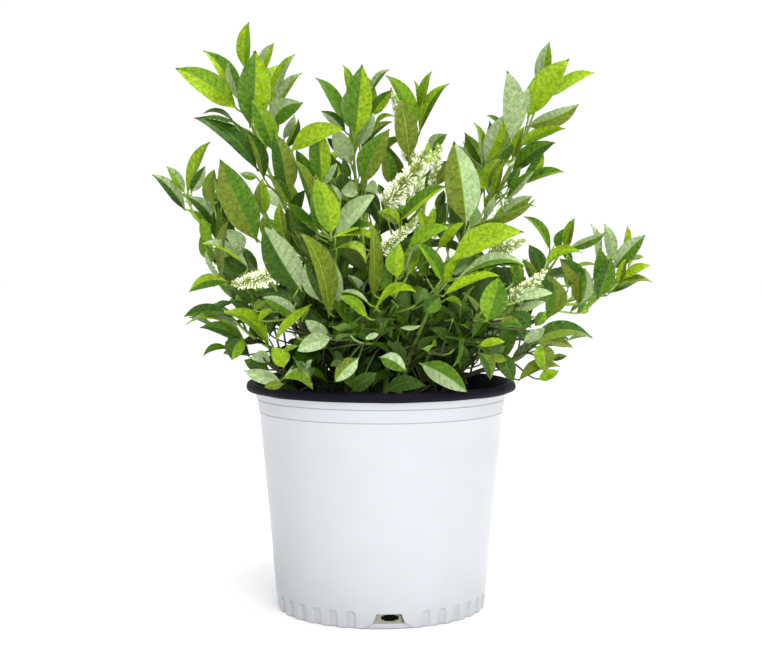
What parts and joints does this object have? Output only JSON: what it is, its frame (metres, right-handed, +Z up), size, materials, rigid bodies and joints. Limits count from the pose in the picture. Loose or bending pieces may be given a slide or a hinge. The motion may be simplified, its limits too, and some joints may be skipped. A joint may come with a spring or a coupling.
{
  "type": "potted virginia sweetspire shrub",
  "caption": "Leafy flowering shrub of arching canes with pale bottlebrush flower spikes, growing in a round white nursery pot of soil.",
  "frame": {"origin": "centre of the pot's flat underside", "axes": "+Z up along the pot's axis, -Y towards the front of the plant, +X to its right seen from the front"},
  "size_m": [0.5046, 0.4247, 0.5976],
  "materials": {
    "pot": "satin white moulded plastic, dark inside and on the rim",
    "soil": "moist bark-based potting mix",
    "canes": "smooth green-brown bark",
    "foliage": "fresh green leaves with cream flower spikes"
  },
  "bodies": {
    "root": {"back_cane": "canes", "back_leaves": "foliage", "back_left_cane": "canes", "back_left_leaves": "foliage", "back_left_tall_cane": "canes", "back_left_tall_leaves": "foliage", "back_right_cane": "canes", "back_right_leaves": "foliage", "back_right_tall_cane": "canes", "back_right_tall_leaves": "foliage", "back_tall_cane": "canes", "back_tall_leaves": "foliage", "far_right_cane": "canes", "far_right_leaves": "foliage", "front_cane": "canes", "front_leaves": "foliage", "front_left_cane": "canes", "front_left_leaves": "foliage", "front_left_mid_cane": "canes", "front_left_mid_leaves": "foliage", "front_mid_cane": "canes", "front_mid_leaves": "foliage", "front_right_cane": "canes", "front_right_leaves": "foliage", "front_right_mid_cane": "canes", "front_right_mid_leaves": "foliage", "left_arm_cane": "canes", "left_arm_leaves": "foliage", "left_low_cane": "canes", "left_low_leaves": "foliage", "left_rim_cane": "canes", "left_rim_leaves": "foliage", "left_tall_cane": "canes", "left_tall_leaves": "foliage", "middle_right_cane": "canes", "middle_right_leaves": "foliage", "middle_tall_cane": "canes", "middle_tall_leaves": "foliage", "pot": "pot", "right_arm_cane": "canes", "right_arm_leaves": "foliage", "right_low_cane": "canes", "right_low_leaves": "foliage", "right_tall_cane": "canes", "right_tall_leaves": "foliage", "soil": "soil"}
  },
  "joints": []
}
